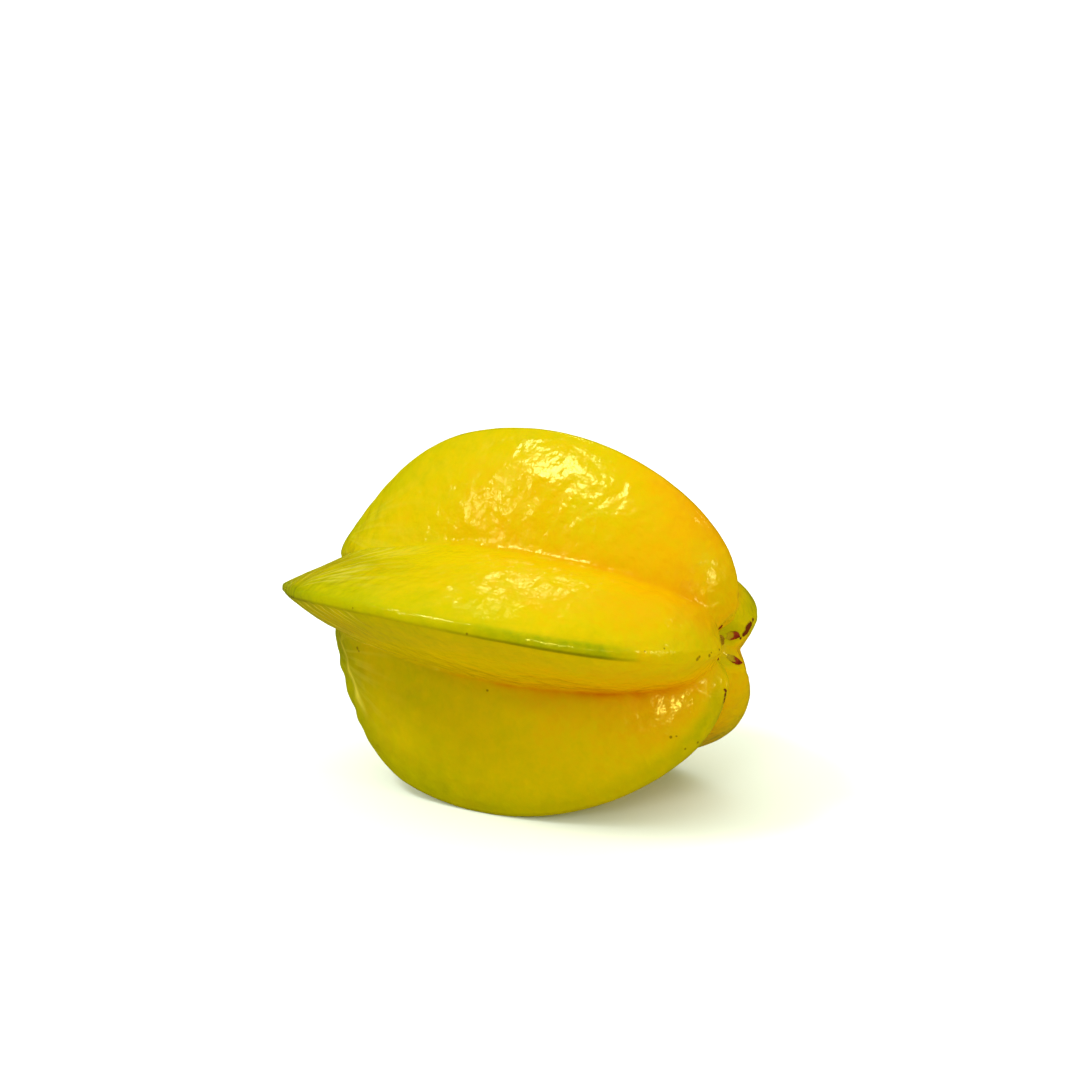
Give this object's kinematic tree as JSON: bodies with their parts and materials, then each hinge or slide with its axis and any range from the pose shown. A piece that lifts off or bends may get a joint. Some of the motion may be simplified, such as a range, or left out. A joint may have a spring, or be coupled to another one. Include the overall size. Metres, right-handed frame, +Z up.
{
  "type": "star fruit",
  "caption": "Ripe carambola lying on its side, a ribbed fruit with a star-shaped section, pointed fins at the blossom end and a short stalk stub in the stem pit.",
  "frame": {"origin": "centre of the bounding box at floor height", "axes": "+X along the fruit's own axis towards the stem end, +Z up, the front rib towards -Y"},
  "size_m": [0.107, 0.0824, 0.0788],
  "materials": {
    "waxy_skin": "smooth waxy skin with a soft gloss, yellow with greener rib crests",
    "dry_stalk": "dry, rough and matt",
    "dried_sepal": "dried, papery and matt"
  },
  "bodies": {
    "root": {"fruit": "waxy_skin", "stem_stub": "dry_stalk", "sepal_1": "dried_sepal", "sepal_2": "dried_sepal", "sepal_3": "dried_sepal", "sepal_4": "dried_sepal", "sepal_5": "dried_sepal"}
  },
  "joints": []
}
